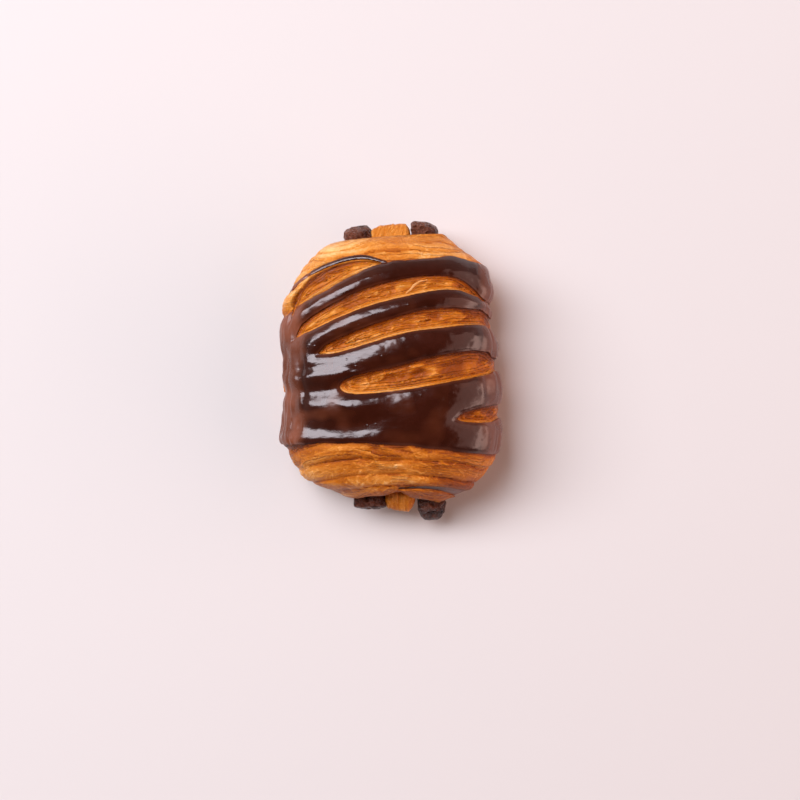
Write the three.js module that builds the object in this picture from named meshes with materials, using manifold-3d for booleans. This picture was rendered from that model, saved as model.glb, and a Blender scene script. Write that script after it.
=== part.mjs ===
// Pain au chocolat. A pillow of laminated dough is rolled round two chocolate sticks, slashed on the
// slant and baked, and chocolate glaze coats its top and sides but leaves the opened slashes bare.
//
// Millimetres. X runs across the roll, Y along it and Z up. The origin is under the middle, at the base.
import * as THREE from "three";
import { mergeVertices } from "three/addons/utils/BufferGeometryUtils.js";
import Module from "manifold-3d";

const wasm = await Module();
wasm.setup();

// Driving dimensions
const FAR_END = 46; // the edge of the last fold at the +Y end, on the middle line
const NEAR_END = -43.4; // and at the -Y end
const STICK_REACH = 51.4; // where the longest stick ends, at half the overall length
const FLANK_LEVEL = 0.42; // height of the widest line, as a share of the section's height
const BASE_SPREAD = 0.6; // how far the base would reach under the floor before it is pressed flat
const TOP_ROUNDNESS = 2.55; // powers of the section's curves: 2 is an ellipse, and more is boxier
const BASE_ROUNDNESS = 3.4;
const SHOULDER_HEIGHT = 28; // above it a place counts as on top, and below it as on a flank
const END_CENTRE_Z = 13.5; // the middle of the rolled ends
const END_BULGE = 0.3; // how far the rolled ends swell out past their rim
const COIL_HEIGHT = 0.5; // of the rings of rolled dough on them
const PIECE_GAP = 0.3; // kept between touching pieces
const GLAZE_THICKNESS = 1.5;

// Dough sections: how far the body reaches left, right and up at a place y, and how far its base lifts.
const SECTIONS = [
  { y: -45.5, left: 14.8, right: 19, top: 20.5, lift: 3 },
  { y: -43.4, left: 17.4, right: 22.4, top: 23.6, lift: 2.2 },
  { y: -41.4, left: 21, right: 26.4, top: 26.6, lift: 1.2 },
  { y: -38.5, left: 28, right: 28.9, top: 30, lift: 0.4 },
  { y: -32, left: 33.4, right: 33.6, top: 34.2, lift: 0 },
  { y: -24, left: 36.1, right: 35.6, top: 36.8, lift: 0 },
  { y: -8, left: 36.5, right: 36.2, top: 38, lift: 0 },
  { y: 8, left: 36.6, right: 34.6, top: 38, lift: 0 },
  { y: 20, left: 35.8, right: 32.7, top: 37.2, lift: 0 },
  { y: 30, left: 32.9, right: 30.9, top: 35, lift: 0 },
  { y: 38, left: 28.2, right: 28.4, top: 31, lift: 0.4 },
  { y: 43, left: 22.8, right: 21.5, top: 26.8, lift: 1.4 },
  { y: 46, left: 17.4, right: 18, top: 21, lift: 3 },
];

// The valleys between the folds of dough, as places along the middle of the roll.
const FOLDS = [NEAR_END, -39.6, -35.2, -29.6, -22, -13, -4, 5, 14, 23, 31, 36, 39.4, 42.4, FAR_END];
const FOLD_HEIGHT_SHARE = 0.26; // of a fold's width
const FOLD_HEIGHT_MOST = 1.3;
const FOLD_CREST_SHARE = 0.45; // of a fold's height that stands above the plain section
const SMOOTH_TOP = { from: -27, to: 35, fade: 4 }; // the glazed stretch, where the top hides its folds

// Slashes: each opens along a curved line to a half-width at every point, as [across, along, half-width].
// Across is measured over the shoulder and down the flank, so it passes the body's own half-width.
const SLASH_DEPTH = 2.8;
const CUT_SIDES = 8;
const SLASH_CLEARANCE = 6; // how far the cut reaches above the dough, through the glaze
const SLASHES = [
  [[-35.9, 16.9, 0.3], [-32.7, 22.3, 1.7], [-24, 29.7, 3], [-12.9, 34.4, 2.3], [-2.8, 36, 0.2]],
  [
    [-33.4, 9.8, 0.2], [-29, 14.2, 2.1], [-13.6, 22.2, 3.2], [2.2, 27.1, 3.4], [20.7, 28.9, 2.5],
    [31.2, 23.9, 0.8], [53, 21, 1.4],
  ],
  [
    [-25.3, 5.1, 0.4], [-20.6, 7.1, 2.3], [2.8, 14.9, 3.4], [14, 17, 3.8], [29.1, 17.7, 3],
    [40, 15.6, 2.6], [53, 15, 3.2],
  ],
  [
    [-18.1, -6, 0.3], [-14.6, -5.6, 2.9], [2.8, -2.9, 4.5], [17, 0.2, 5.1], [29.1, 2, 4.7],
    [36, 1.8, 2.8], [53, 1, 3.2],
  ],
  [[20.7, -16.9, 0.3], [24.1, -16.1, 2], [34.2, -14.9, 3.3], [40, -14.2, 2.8], [53, -14, 3.2]],
];

// The coat of glaze seen from above: its edges towards both ends of the roll, as [x, y].
const COAT_TOP_EDGE = [
  [-50, 13], [-38, 15.5], [-32.6, 20.7], [-22, 26.5], [-13.6, 31.8], [-6.6, 35], [2.2, 36.5],
  [12, 37.7], [20, 38.1], [27, 36.5], [33, 32.8], [38, 29], [50, 27],
];
const COAT_LOW_EDGE = [
  [50, -28.6], [33, -28.8], [14.8, -26.7], [-2.8, -25.3], [-20, -24.6], [-30.3, -25.7], [-50, -25],
];

// How low the glaze runs on a flank: a mean height, its drips and the stretch that is left barer.
const FLANK_RUNS = [
  { side: -1, height: 14.6, drip: 0.8, bareAt: -9, bareRise: 4.5 },
  { side: 1, height: 15, drip: 1.5, bareAt: 10, bareRise: 0 },
];

// Thin lines of glaze that left the piping bag before and after the coat, as [x, y, half-width].
const FIRST_LINE = [
  [-2.5, 36.2, 0.5], [-10.9, 38, 0.9], [-22, 35.4, 0.8], [-30.4, 30.6, 0.8], [-34.2, 25, 0.9],
  [-36.4, 18, 1.6], [-38, 10, 2.4],
];
const LAST_LINE = [
  [1.9, -40.4, 0.2], [8.8, -40.1, 0.6], [14.8, -40.5, 0.9], [20.9, -41.6, 1.3], [26, -43.2, 1.6],
];

// Chocolate sticks: the middle of each end as [x, y, z], the section's width and height, and its twist.
const STICKS = {
  chocolate_stick_left: {
    from: [-8.1, -48.1, 13.6], to: [-12.1, 50, 14.4], width: 10.6, height: 7, twist: -12,
  },
  chocolate_stick_right: {
    from: [13.3, -STICK_REACH, 13.2], to: [10.5, STICK_REACH, 14.6], width: 9.8, height: 7.4, twist: 9,
  },
};
const STICK_CORNER = 2;
const STICK_END_TAPER = 0.12;

// The dough between the sticks shows at each end: its width, height and how far each corner reaches.
const TONGUES = [
  { end: 1, root: FAR_END, x: -1, width: 13.4, low: 8, high: 19.5, reachLeft: 49.8, reachRight: 51 },
  { end: -1, root: -NEAR_END, x: 2.6, width: 11, low: 8, high: 19, reachLeft: 48.7, reachRight: 49.6 },
];
const TONGUE_HOLD = 4; // how far it runs back into the roll

const { clamp, lerp, mapLinear } = THREE.MathUtils;
const smooth = (low, high, x) => THREE.MathUtils.smoothstep(x, low, high);

// A value read from the table of sections at a place y, with a smooth slope between two rows.
function sectionValue(key, place) {
  const last = SECTIONS.length - 1;
  const y = clamp(place, SECTIONS[0].y, SECTIONS[last].y);
  let i = 0;
  while (i < last - 1 && y > SECTIONS[i + 1].y) i += 1;
  const slope = (j) => {
    const a = SECTIONS[Math.max(j - 1, 0)];
    const b = SECTIONS[Math.min(j + 1, last)];
    return (b[key] - a[key]) / (b.y - a.y);
  };
  const span = SECTIONS[i + 1].y - SECTIONS[i].y;
  const t = (y - SECTIONS[i].y) / span;
  const rise = SECTIONS[i + 1][key] - SECTIONS[i][key];
  const early = slope(i) * span - rise;
  const late = rise - slope(i + 1) * span;
  return SECTIONS[i][key] + t * rise + t * (1 - t) * (early * (1 - t) + late * t);
}

// Slow swells that keep the hand-rolled dough uneven.
function swell(x, y, z) {
  const long = 0.45 * Math.sin(0.11 * x + 0.07 * y + 1.3) * Math.cos(0.09 * y - 0.05 * z + 0.4);
  const short = 0.25 * Math.sin(0.24 * x - 0.19 * y + 0.21 * z + 2.1);
  return long + short;
}

// How a fold line bends along the roll on its way over the body: towards -Y down both flanks.
function foldBend(x, fold) {
  const rightBend = mapLinear(fold, NEAR_END, FAR_END, 3.4, 0.2);
  const bend = (x < 0 ? 3.2 : rightBend) * (x / 30) ** 2;
  const slant = Math.sign(fold) * 0.07 * x * smooth(36, 46, Math.abs(fold));
  return slant - bend;
}

// One point of the plain section at y, with the outward direction in the section.
function sectionPoint(y, angle) {
  const top = sectionValue("top", y);
  const lift = sectionValue("lift", y);
  const c = Math.cos(angle);
  const s = Math.sin(angle);
  const reach = sectionValue(c < 0 ? "left" : "right", y);
  const middle = lift + FLANK_LEVEL * (top - lift);
  const rise = s > 0 ? top - middle : middle - lift + BASE_SPREAD;
  const roundness = s > 0 ? TOP_ROUNDNESS : BASE_ROUNDNESS;
  const x = reach * Math.sign(c) * Math.abs(c) ** (2 / roundness);
  const z = middle + rise * Math.sign(s) * Math.abs(s) ** (2 / roundness);
  const nx = (Math.sign(c) * Math.abs(x / reach) ** (roundness - 1)) / reach;
  const nz = (Math.sign(s) * Math.abs((z - middle) / rise) ** (roundness - 1)) / rise;
  const size = Math.hypot(nx, nz) || 1;
  return { x, z, nx: nx / size, nz: nz / size, top };
}

// The distance over the surface across the roll: x on the top, and x plus the drop down a flank.
function acrossOf(p) {
  const shoulder = Math.min(SHOULDER_HEIGHT, p.top - 6);
  return Math.sign(p.x) * (Math.abs(p.x) + Math.max(0, shoulder - p.z));
}

// The raised and sunken forms of the baked dough, as a height over its plain section.
function doughRelief(p, y, fold) {
  const i = clamp(FOLDS.findIndex((f) => f > fold) - 1, 0, FOLDS.length - 2);
  const width = FOLDS[i + 1] - FOLDS[i];
  const t = clamp((fold - FOLDS[i]) / width, 0, 1);
  const height = Math.min(FOLD_HEIGHT_SHARE * width, FOLD_HEIGHT_MOST);
  const { from, to, fade } = SMOOTH_TOP;
  const coated = smooth(from, from + fade, y) * (1 - smooth(to - fade, to, y));
  const hidden = coated * (1 - smooth(36, 44, Math.abs(acrossOf(p))));
  const folds = height * (FOLD_CREST_SHARE - Math.abs(2 * t - 1) ** 2.4) * (1 - hidden);
  return smooth(3, 9, p.z) * (folds + swell(p.x, y, p.z));
}

// A point of the baked surface. The fold is its place along the roll, and shrink is 1 on the body and
// falls to 0 at the middle of a rolled end. The extra height is laid over the surface.
function bakedPoint(fold, shrink, angle, extraHeight) {
  const rough = sectionPoint(fold, angle);
  const y = fold + foldBend(rough.x, fold);
  const p = sectionPoint(y, angle);
  const height = doughRelief(p, y, fold) + extraHeight;
  const x = p.x + p.nx * height;
  const z = Math.max(p.z + p.nz * height, 0);
  if (shrink === 1) return [x, y, z];
  const end = Math.sign(fold);
  const coil = COIL_HEIGHT * Math.sin(shrink * 16 + 0.8 * end) * smooth(1, 0.85, shrink);
  const reach = END_BULGE * (1 - shrink ** 2) + coil + extraHeight;
  return [x * shrink, lerp(fold, y, shrink) + end * reach, lerp(END_CENTRE_Z, z, shrink)];
}

// The rows of the surface from the +Y end to the -Y end, each as its fold and shrink.
const STEPS_IN_A_FOLD = 3;
function surfaceRows() {
  const capShrinks = [0, 0.2, 0.4, 0.55, 0.7, 0.85, 0.94];
  const body = [];
  for (let i = FOLDS.length - 1; i > 0; i -= 1) {
    for (let k = 0; k < STEPS_IN_A_FOLD; k += 1) {
      body.push([lerp(FOLDS[i], FOLDS[i - 1], k / STEPS_IN_A_FOLD), 1]);
    }
  }
  body.push([NEAR_END, 1]);
  const farCap = capShrinks.map((shrink) => [FAR_END, shrink]);
  const nearCap = capShrinks.map((shrink) => [NEAR_END, shrink]).reverse();
  return [...farCap, ...body, ...nearCap];
}

// A closed skin over the baked surface: a ball whose every row of vertices is moved to its own place.
const AROUND = 40;
function bakedSkin(extraHeight) {
  const rows = surfaceRows();
  const skin = new THREE.SphereGeometry(1, AROUND, rows.length - 1);
  const position = skin.getAttribute("position");
  rows.forEach(([fold, shrink], row) => {
    for (let column = 0; column <= AROUND; column += 1) {
      const turn = ((column % AROUND) / AROUND) * 2 * Math.PI;
      const angle = Math.PI - turn - 0.3 * Math.sin(turn) ** 2 * Math.sin(2 * turn);
      position.setXYZ(row * (AROUND + 1) + column, ...bakedPoint(fold, shrink, angle, extraHeight));
    }
  });
  return skin;
}

// The place on the plain surface at a distance across the roll, found by halving the range of angles.
function surfaceAt(across, y) {
  let right = -0.6;
  let left = Math.PI + 0.6;
  for (let i = 0; i < 30; i += 1) {
    const angle = (right + left) / 2;
    if (acrossOf(sectionPoint(y, angle)) > across) right = angle;
    else left = angle;
  }
  const p = sectionPoint(y, (right + left) / 2);
  return { place: new THREE.Vector3(p.x, y, p.z), out: new THREE.Vector3(p.nx, 0, p.nz) };
}

// A smooth curve through a stroke's points, with the half-width as its third coordinate.
const strokeCurve = (stroke) =>
  new THREE.CatmullRomCurve3(stroke.map((p) => new THREE.Vector3(...p)), false, "centripetal");

// The knife's cut along a slash: a ball drawn out along it, round below the crust and upright above.
function slashGeometry(slash) {
  const rows = (slash.length - 1) * 3;
  const cut = new THREE.SphereGeometry(1, CUT_SIDES, rows);
  const columns = CUT_SIDES + 1;
  const position = cut.getAttribute("position");
  const curve = strokeCurve(slash);
  const middle = (t) => {
    const p = curve.getPoint(clamp(t, 0, 1));
    return { ...surfaceAt(p.x, p.y), halfWidth: Math.max(p.z, 0.1) };
  };
  for (let row = 0; row <= rows; row += 1) {
    const { place, out, halfWidth } = middle(row / rows);
    const along = middle((row + 0.5) / rows).place.sub(middle((row - 0.5) / rows).place).normalize();
    const side = new THREE.Vector3().crossVectors(out, along).normalize();
    for (let column = 0; column < columns; column += 1) {
      const i = row * columns + column;
      const open = Math.hypot(position.getX(i), position.getZ(i));
      if (row === 0 || row === rows || open < 1e-6) {
        position.setXYZ(i, ...place);
        continue;
      }
      const u = position.getX(i) / open;
      const v = position.getZ(i) / open;
      const sideways = v > 0 ? Math.sign(u) * Math.abs(u) ** 0.4 : u;
      const upwards = v > 0 ? v * SLASH_CLEARANCE : v * Math.min(SLASH_DEPTH, 1.4 * halfWidth);
      const p = place.clone().addScaledVector(side, sideways * halfWidth).addScaledVector(out, upwards);
      position.setXYZ(i, p.x, p.y, p.z);
    }
  }
  return cut;
}

// An upright prism over an outline drawn in X and Y, from a level below all glaze to one above it.
const PRISM_BASE = 12;
const PRISM_HEIGHT = 40;
const STEPS_TO_A_POINT = 4;
function uprightPrism(outline) {
  const shape = { depth: PRISM_HEIGHT, bevelEnabled: false, curveSegments: STEPS_TO_A_POINT };
  return new THREE.ExtrudeGeometry(outline, shape).translate(0, 0, PRISM_BASE);
}

// The outline of a stroke of glaze: out along one side of its curve and back along the other.
function strokeOutline(stroke) {
  const curve = strokeCurve(stroke);
  const steps = (stroke.length - 1) * 3;
  const sides = [[], []];
  for (let i = 0; i <= steps; i += 1) {
    const p = curve.getPoint(i / steps);
    const ahead = curve.getTangent(i / steps);
    const length = Math.hypot(ahead.x, ahead.y);
    const offset = new THREE.Vector2(-ahead.y, ahead.x).multiplyScalar(p.z / length);
    sides[0].push(new THREE.Vector2(p.x - offset.x, p.y - offset.y));
    sides[1].unshift(new THREE.Vector2(p.x + offset.x, p.y + offset.y));
  }
  return new THREE.Shape([...sides[0], ...sides[1]]);
}

// The outline of the coat: a smooth curve along each edge, joined beyond the flanks.
function coatOutline() {
  const points = (edge) => edge.map(([x, y]) => new THREE.Vector2(x, y));
  const outline = new THREE.Shape();
  outline.moveTo(...COAT_LOW_EDGE.at(-1));
  outline.lineTo(...COAT_TOP_EDGE[0]);
  outline.splineThru(points(COAT_TOP_EDGE.slice(1)));
  outline.lineTo(...COAT_LOW_EDGE[0]);
  outline.splineThru(points(COAT_LOW_EDGE.slice(1)));
  return outline;
}

// What lies under the glaze's dripping lower edge on one flank, as a prism that runs out from the middle.
function underFlankRun({ side, height, drip, bareAt, bareRise }) {
  const reach = 60;
  const edge = [];
  for (let y = -reach; y <= reach; y += 1.5) {
    const drips = drip * (Math.sin(0.33 * y + 0.6) + 0.6 * Math.sin(0.71 * y + 2));
    const bare = bareRise * Math.exp(-(((y - bareAt) / 7) ** 2));
    edge.push(new THREE.Vector2(y, height - drips + bare));
  }
  edge.push(new THREE.Vector2(reach, -5), new THREE.Vector2(-reach, -5));
  const outline = new THREE.Shape(edge);
  const prism = new THREE.ExtrudeGeometry(outline, { depth: reach, bevelEnabled: false });
  if (side < 0) prism.translate(0, 0, -reach);
  const alongX = new THREE.Matrix4().makeBasis(
    new THREE.Vector3(0, 1, 0), new THREE.Vector3(0, 0, 1), new THREE.Vector3(1, 0, 0),
  );
  return prism.applyMatrix4(alongX);
}

// A closed geometry as a solid for joining and cutting, and back again.
function toSolid(geometry) {
  const bare = new THREE.BufferGeometry();
  bare.setAttribute("position", geometry.getAttribute("position"));
  if (geometry.index) bare.setIndex(geometry.index);
  const merged = mergeVertices(bare, 1e-4);
  const kept = [];
  const index = merged.index.array;
  for (let i = 0; i < index.length; i += 3) {
    const [a, b, c] = index.slice(i, i + 3);
    if (a !== b && b !== c && c !== a) kept.push(a, b, c);
  }
  const vertProperties = merged.attributes.position.array;
  return new wasm.Manifold(new wasm.Mesh({ numProp: 3, vertProperties, triVerts: new Uint32Array(kept) }));
}

function toGeometry(solid) {
  const { vertProperties, triVerts } = solid.getMesh();
  const geometry = new THREE.BufferGeometry();
  geometry.setAttribute("position", new THREE.BufferAttribute(vertProperties, 3));
  geometry.setIndex(new THREE.BufferAttribute(triVerts, 1));
  geometry.computeVertexNormals();
  return geometry;
}

const largestBody = (solid) => solid.decompose().sort((a, b) => b.volume() - a.volume())[0];

// A chocolate stick: a bar with rounded corners that turns a little along its length.
function stickGeometry({ from, to, width, height, twist }, grow = 0) {
  const halfWidth = width / 2 + grow;
  const halfHeight = height / 2 + grow;
  const outline = new THREE.Shape();
  const quarter = Math.PI / 2;
  const [cornerX, cornerY] = [halfWidth - STICK_CORNER, halfHeight - STICK_CORNER];
  outline.moveTo(cornerX, -halfHeight);
  outline.absarc(cornerX, -cornerY, STICK_CORNER, -quarter, 0);
  outline.absarc(cornerX, cornerY, STICK_CORNER, 0, quarter);
  outline.absarc(-cornerX, cornerY, STICK_CORNER, quarter, 2 * quarter);
  outline.absarc(-cornerX, -cornerY, STICK_CORNER, 2 * quarter, 3 * quarter);
  const shape = { depth: 1, steps: 6, bevelEnabled: false, curveSegments: 3 };
  const bar = new THREE.ExtrudeGeometry(outline, shape);
  const position = bar.getAttribute("position");
  const overrun = grow > 0 ? 6 : 0;
  for (let i = 0; i < position.count; i += 1) {
    const t = position.getZ(i);
    const taper = grow > 0 ? 1 : 1 - STICK_END_TAPER * Math.abs(2 * t - 1) ** 12;
    const turn = THREE.MathUtils.degToRad(twist * (t - 0.5));
    const u = position.getX(i) * taper;
    const v = position.getY(i) * taper;
    position.setXYZ(
      i,
      lerp(from[0], to[0], t) - u * Math.cos(turn) - v * Math.sin(turn),
      lerp(from[1] - overrun, to[1] + overrun, t),
      lerp(from[2], to[2], t) - u * Math.sin(turn) + v * Math.cos(turn),
    );
  }
  return bar;
}

// The dough that shows between the sticks at one end, its face fanned out and its corners rounded.
function tongueGeometry({ end, root, x, width, low, high, reachLeft, reachRight }) {
  const block = new THREE.BoxGeometry(2, 2, 2, 6, 4, 6);
  const position = block.getAttribute("position");
  for (let i = 0; i < position.count; i += 1) {
    const [u, v, w] = [position.getX(i), position.getY(i), position.getZ(i)];
    const reach = lerp(reachLeft, reachRight, (u + 1) / 2) - 1.1 * w ** 4 - 0.5 * u ** 4;
    const out = (v + 1) / 2;
    const fan = (1 + 0.05 * out) * (1 - 0.08 * w ** 4);
    const halfHeight = ((high - low) / 2) * (1 - 0.12 * u ** 4);
    const y = end * lerp(root - TONGUE_HOLD, reach, out);
    position.setXYZ(i, x + u * (width / 2) * fan, y, (low + high) / 2 + w * halfHeight);
  }
  if (end < 0) block.index.array.reverse();
  return block;
}

const slashCuts = SLASHES.map((slash) => toSolid(slashGeometry(slash)));
const withoutAll = (solid, cuts) => cuts.reduce((left, cut) => left.subtract(cut), solid);

function doughSolid() {
  const channels = Object.values(STICKS).map((stick) => toSolid(stickGeometry(stick, PIECE_GAP)));
  const tongues = TONGUES.map((tongue) => toSolid(tongueGeometry(tongue)));
  const body = tongues.reduce((solid, tongue) => solid.add(tongue), toSolid(bakedSkin(0)));
  return largestBody(withoutAll(body, [...channels, ...slashCuts]));
}

// A layer of glaze of even thickness over the dough, where the outline seen from above has it.
const glazeShell = toSolid(bakedSkin(PIECE_GAP + GLAZE_THICKNESS)).subtract(toSolid(bakedSkin(PIECE_GAP)));
const glazeWithin = (prism) => glazeShell.intersect(prism);

function coatSolid() {
  const firstLine = toSolid(uprightPrism(strokeOutline(FIRST_LINE)));
  const seenFromAbove = toSolid(uprightPrism(coatOutline())).add(firstLine);
  const underRuns = FLANK_RUNS.map((run) => toSolid(underFlankRun(run)));
  return largestBody(withoutAll(glazeWithin(seenFromAbove), [...underRuns, ...slashCuts]));
}

const lastLineSolid = () => largestBody(glazeWithin(toSolid(uprightPrism(strokeOutline(LAST_LINE)))));

const bakedDough = new THREE.MeshStandardMaterial({ color: "#c97d35", roughness: 0.55, metalness: 0 });
const glossyGlaze = new THREE.MeshStandardMaterial({ color: "#47200f", roughness: 0.18, metalness: 0 });
const stickChocolate = new THREE.MeshStandardMaterial({ color: "#3a221b", roughness: 0.5, metalness: 0 });

function named(name, geometry, material) {
  const mesh = new THREE.Mesh(geometry, material);
  mesh.name = name;
  return mesh;
}

const pastry = new THREE.Group();
pastry.add(named("dough", toGeometry(doughSolid()), bakedDough));
pastry.add(named("glaze", toGeometry(coatSolid()), glossyGlaze));
pastry.add(named("glaze_line", toGeometry(lastLineSolid()), glossyGlaze));
for (const [name, stick] of Object.entries(STICKS)) {
  pastry.add(named(name, toGeometry(toSolid(stickGeometry(stick))), stickChocolate));
}

export default pastry;
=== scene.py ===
import math

import bmesh
import bpy
import numpy as np
from mathutils import Matrix, Vector


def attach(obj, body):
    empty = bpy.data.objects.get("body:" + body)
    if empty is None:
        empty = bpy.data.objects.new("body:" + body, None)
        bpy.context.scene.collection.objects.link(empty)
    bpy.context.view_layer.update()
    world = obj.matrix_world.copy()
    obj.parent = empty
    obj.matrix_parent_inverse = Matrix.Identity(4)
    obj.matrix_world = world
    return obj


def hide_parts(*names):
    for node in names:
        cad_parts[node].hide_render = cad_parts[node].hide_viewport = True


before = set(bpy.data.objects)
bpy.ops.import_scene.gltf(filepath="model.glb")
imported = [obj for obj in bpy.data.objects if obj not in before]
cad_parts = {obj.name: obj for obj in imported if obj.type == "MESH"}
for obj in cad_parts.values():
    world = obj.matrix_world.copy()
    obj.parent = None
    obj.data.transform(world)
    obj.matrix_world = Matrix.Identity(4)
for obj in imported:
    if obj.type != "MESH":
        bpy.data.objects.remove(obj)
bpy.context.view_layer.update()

MM = 0.001

# Driving sizes of the roll, in millimetres
FAR_END = 46.0
NEAR_END = -43.4
FLANK_LEVEL = 0.42  # the share of its height at which the body is widest
BASE_SPREAD = 0.6  # how far the plain section is cut off by the base
TOP_ROUNDNESS = 2.55  # the powers of the section's curve, where 2 is an ellipse
BASE_ROUNDNESS = 3.4
SHOULDER_HEIGHT = 28.0
END_CENTRE_Z = 13.5
END_BULGE = 0.3
END_RECESS = 1.1

# How far the body reaches left, right and up at a place y, and how far its base lifts.
SECTIONS = np.array([
    (-45.5, 14.8, 19.0, 20.5, 3.0),
    (-43.4, 17.4, 22.4, 23.6, 2.2),
    (-41.4, 21.0, 26.4, 26.6, 1.2),
    (-38.5, 28.0, 28.9, 30.0, 0.4),
    (-32.0, 33.4, 33.6, 34.2, 0.0),
    (-24.0, 36.1, 35.6, 36.8, 0.0),
    (-8.0, 36.5, 36.2, 38.0, 0.0),
    (8.0, 36.6, 34.6, 38.0, 0.0),
    (20.0, 35.8, 32.7, 37.2, 0.0),
    (30.0, 32.9, 30.9, 35.0, 0.0),
    (38.0, 28.2, 28.4, 31.0, 0.4),
    (43.0, 22.8, 21.5, 26.8, 1.4),
    (46.0, 17.4, 18.0, 21.0, 3.0),
])
LEFT, RIGHT, TOP, LIFT = 1, 2, 3, 4

# The valleys between the folds of dough, as places along the middle of the roll.
FOLDS = np.array([NEAR_END, -39.6, -35.2, -29.6, -22, -13, -4, 5, 14, 23, 31, 36, 39.4, 42.4, FAR_END])
FOLD_HEIGHT_SHARE = 0.22
FOLD_HEIGHT_MOST = 1.2

# The slashes, as (across, along, half-width). Across is measured over the shoulder and down a flank.
SLASH_DEPTHS = np.array([0.9, 1.9, 2.3, 2.5, 1.5])
SLASHES = (
    ((-35.9, 16.9, 0.3), (-32.7, 22.3, 1.7), (-24, 29.7, 3), (-12.9, 34.4, 2.3), (-2.8, 36, 0.2)),
    ((-33.4, 9.8, 0.2), (-29, 14.2, 2.1), (-13.6, 22.2, 3.2), (2.2, 27.1, 3.4), (20.7, 28.9, 2.5),
     (31.2, 23.9, 0.8), (53, 21, 1.4)),
    ((-25.3, 5.1, 0.4), (-20.6, 7.1, 2.3), (2.8, 14.9, 3.4), (14, 17, 3.8), (29.1, 17.7, 3),
     (40, 15.6, 2.6), (53, 15, 3.2)),
    ((-18.1, -6, 0.3), (-14.6, -5.6, 2.9), (2.8, -2.9, 4.5), (17, 0.2, 5.1), (29.1, 2, 4.7),
     (36, 1.8, 2.8), (53, 1, 3.2)),
    ((20.7, -16.9, 0.3), (24.1, -16.1, 2), (34.2, -14.9, 3.3), (40, -14.2, 2.8), (53, -14, 3.2)),
)

# The coat of glaze seen from above, as (x, y) along its edges, and its thin lines with a half-width.
GLAZE_HEIGHT = 0.8
GLAZE_EDGE_REACH = 1.3  # from its edge to where it is at its full height
GLAZE_EDGE_SHARE = 0.6  # how much of its height stands at its edge
GLAZE_OVERHANG = 0.35  # how far it reaches over the edge of a slash
STRIP_RISE = 0.8  # how much fuller the dough is under the middle of a strip of glaze
COAT_TOP_EDGE = ((-50, 13), (-38, 15.5), (-32.6, 20.7), (-22, 26.5), (-13.6, 31.8), (-6.6, 35), (2.2, 36.5),
                 (12, 37.7), (20, 38.1), (27, 36.5), (33, 32.8), (38, 29), (50, 27))
COAT_LOW_EDGE = ((-50, -25), (-30.3, -25.7), (-20, -24.6), (-2.8, -25.3), (14.8, -26.7), (33, -28.8),
                 (50, -28.6))
COAT_WAVE_CRESTS = (-36.0, -25.0, -11.8, -2.3, 6.5)  # places along the roll
COAT_WAVE_HEIGHT = 0.42
LEFT_RUN_END = 14.6  # how far down the flanks the coat ran
RIGHT_RUN_END = 15.0
FIRST_LINE = ((-2.5, 36.2, 0.35), (-10.9, 38, 0.8), (-22, 35.4, 0.6), (-30.4, 30.6, 0.5), (-35.2, 25, 0.45),
              (-37.3, 18, 0.7), (-38.4, 10, 1.8))
LAST_LINE = ((1.9, -40.4, 0.2), (8.8, -40.1, 0.4), (14.8, -40.4, 0.6), (20.2, -41.5, 1.0), (24.5, -43.0, 1.5))
LAST_LINE_HEIGHT = 0.4
LAST_LINE_GROOVE = 1.1  # how deep between two folds it lies
LAST_LINE_END = 13.0  # how far down it ran


# Numbers

def clamp01(x):
    return np.clip(x, 0.0, 1.0)


def smooth(low, high, x):
    t = clamp01((x - low) / (high - low))
    return t * t * (3 - 2 * t)


def hump(x, width):
    return np.exp(-(x / width) ** 2)


def lerp(a, b, t):
    return a + (b - a) * t


def smooth_min(a, b, blend):
    """The smaller of two numbers, rounded off where they are closer to each other than the blend."""
    return np.minimum(a, b) - blend / 4 * np.maximum(1 - np.abs(a - b) / blend, 0) ** 2


def corner_values(cell, seed):
    """An even spread of numbers from -1 to 1, one fixed value for each whole-number corner."""
    parts = cell.astype(np.int64).astype(np.uint32)
    mixed = parts[..., 0] * np.uint32(0x8DA6B343)
    mixed ^= parts[..., 1] * np.uint32(0xD8163841)
    mixed ^= parts[..., 2] * np.uint32(0xCB1AB31F)
    mixed ^= np.uint32((seed * 0x9E3779B9) & 0xFFFFFFFF)
    for shift in (15, 13, 16):
        mixed = (mixed ^ (mixed >> np.uint32(shift))) * np.uint32(0x2C1B3C6D)
    return mixed / 2147483648.0 - 1.0


def noise(x, y, z, seed=0):
    """Smooth noise from about -1 to 1 that changes over a distance of about 1."""
    place = np.stack(np.broadcast_arrays(x, y, z), axis=-1).astype(float)
    cell = np.floor(place)
    t = place - cell
    t = t * t * t * (t * (t * 6 - 15) + 10)
    total = 0.0
    for corner in np.ndindex(2, 2, 2):
        weight = np.prod(np.where(np.array(corner) == 1, t, 1 - t), axis=-1)
        total += weight * corner_values(cell + corner, seed)
    return total


# The roll's plain form

def section_value(column, place):
    """A value of SECTIONS at a place y, with a smooth slope between two rows."""
    at = SECTIONS[:, 0]
    values = SECTIONS[:, column]
    y = np.clip(place, at[0], at[-1])
    i = np.clip(np.searchsorted(at, y) - 1, 0, len(at) - 2)
    padded = np.pad(SECTIONS, ((1, 1), (0, 0)), mode="edge")
    change = padded[2:] - padded[:-2]
    slope = change[:, column] / change[:, 0]
    span = at[i + 1] - at[i]
    rise = values[i + 1] - values[i]
    t = (y - at[i]) / span
    early = slope[i] * span - rise
    late = rise - slope[i + 1] * span
    return values[i] + t * rise + t * (1 - t) * (early * (1 - t) + late * t)


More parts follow.
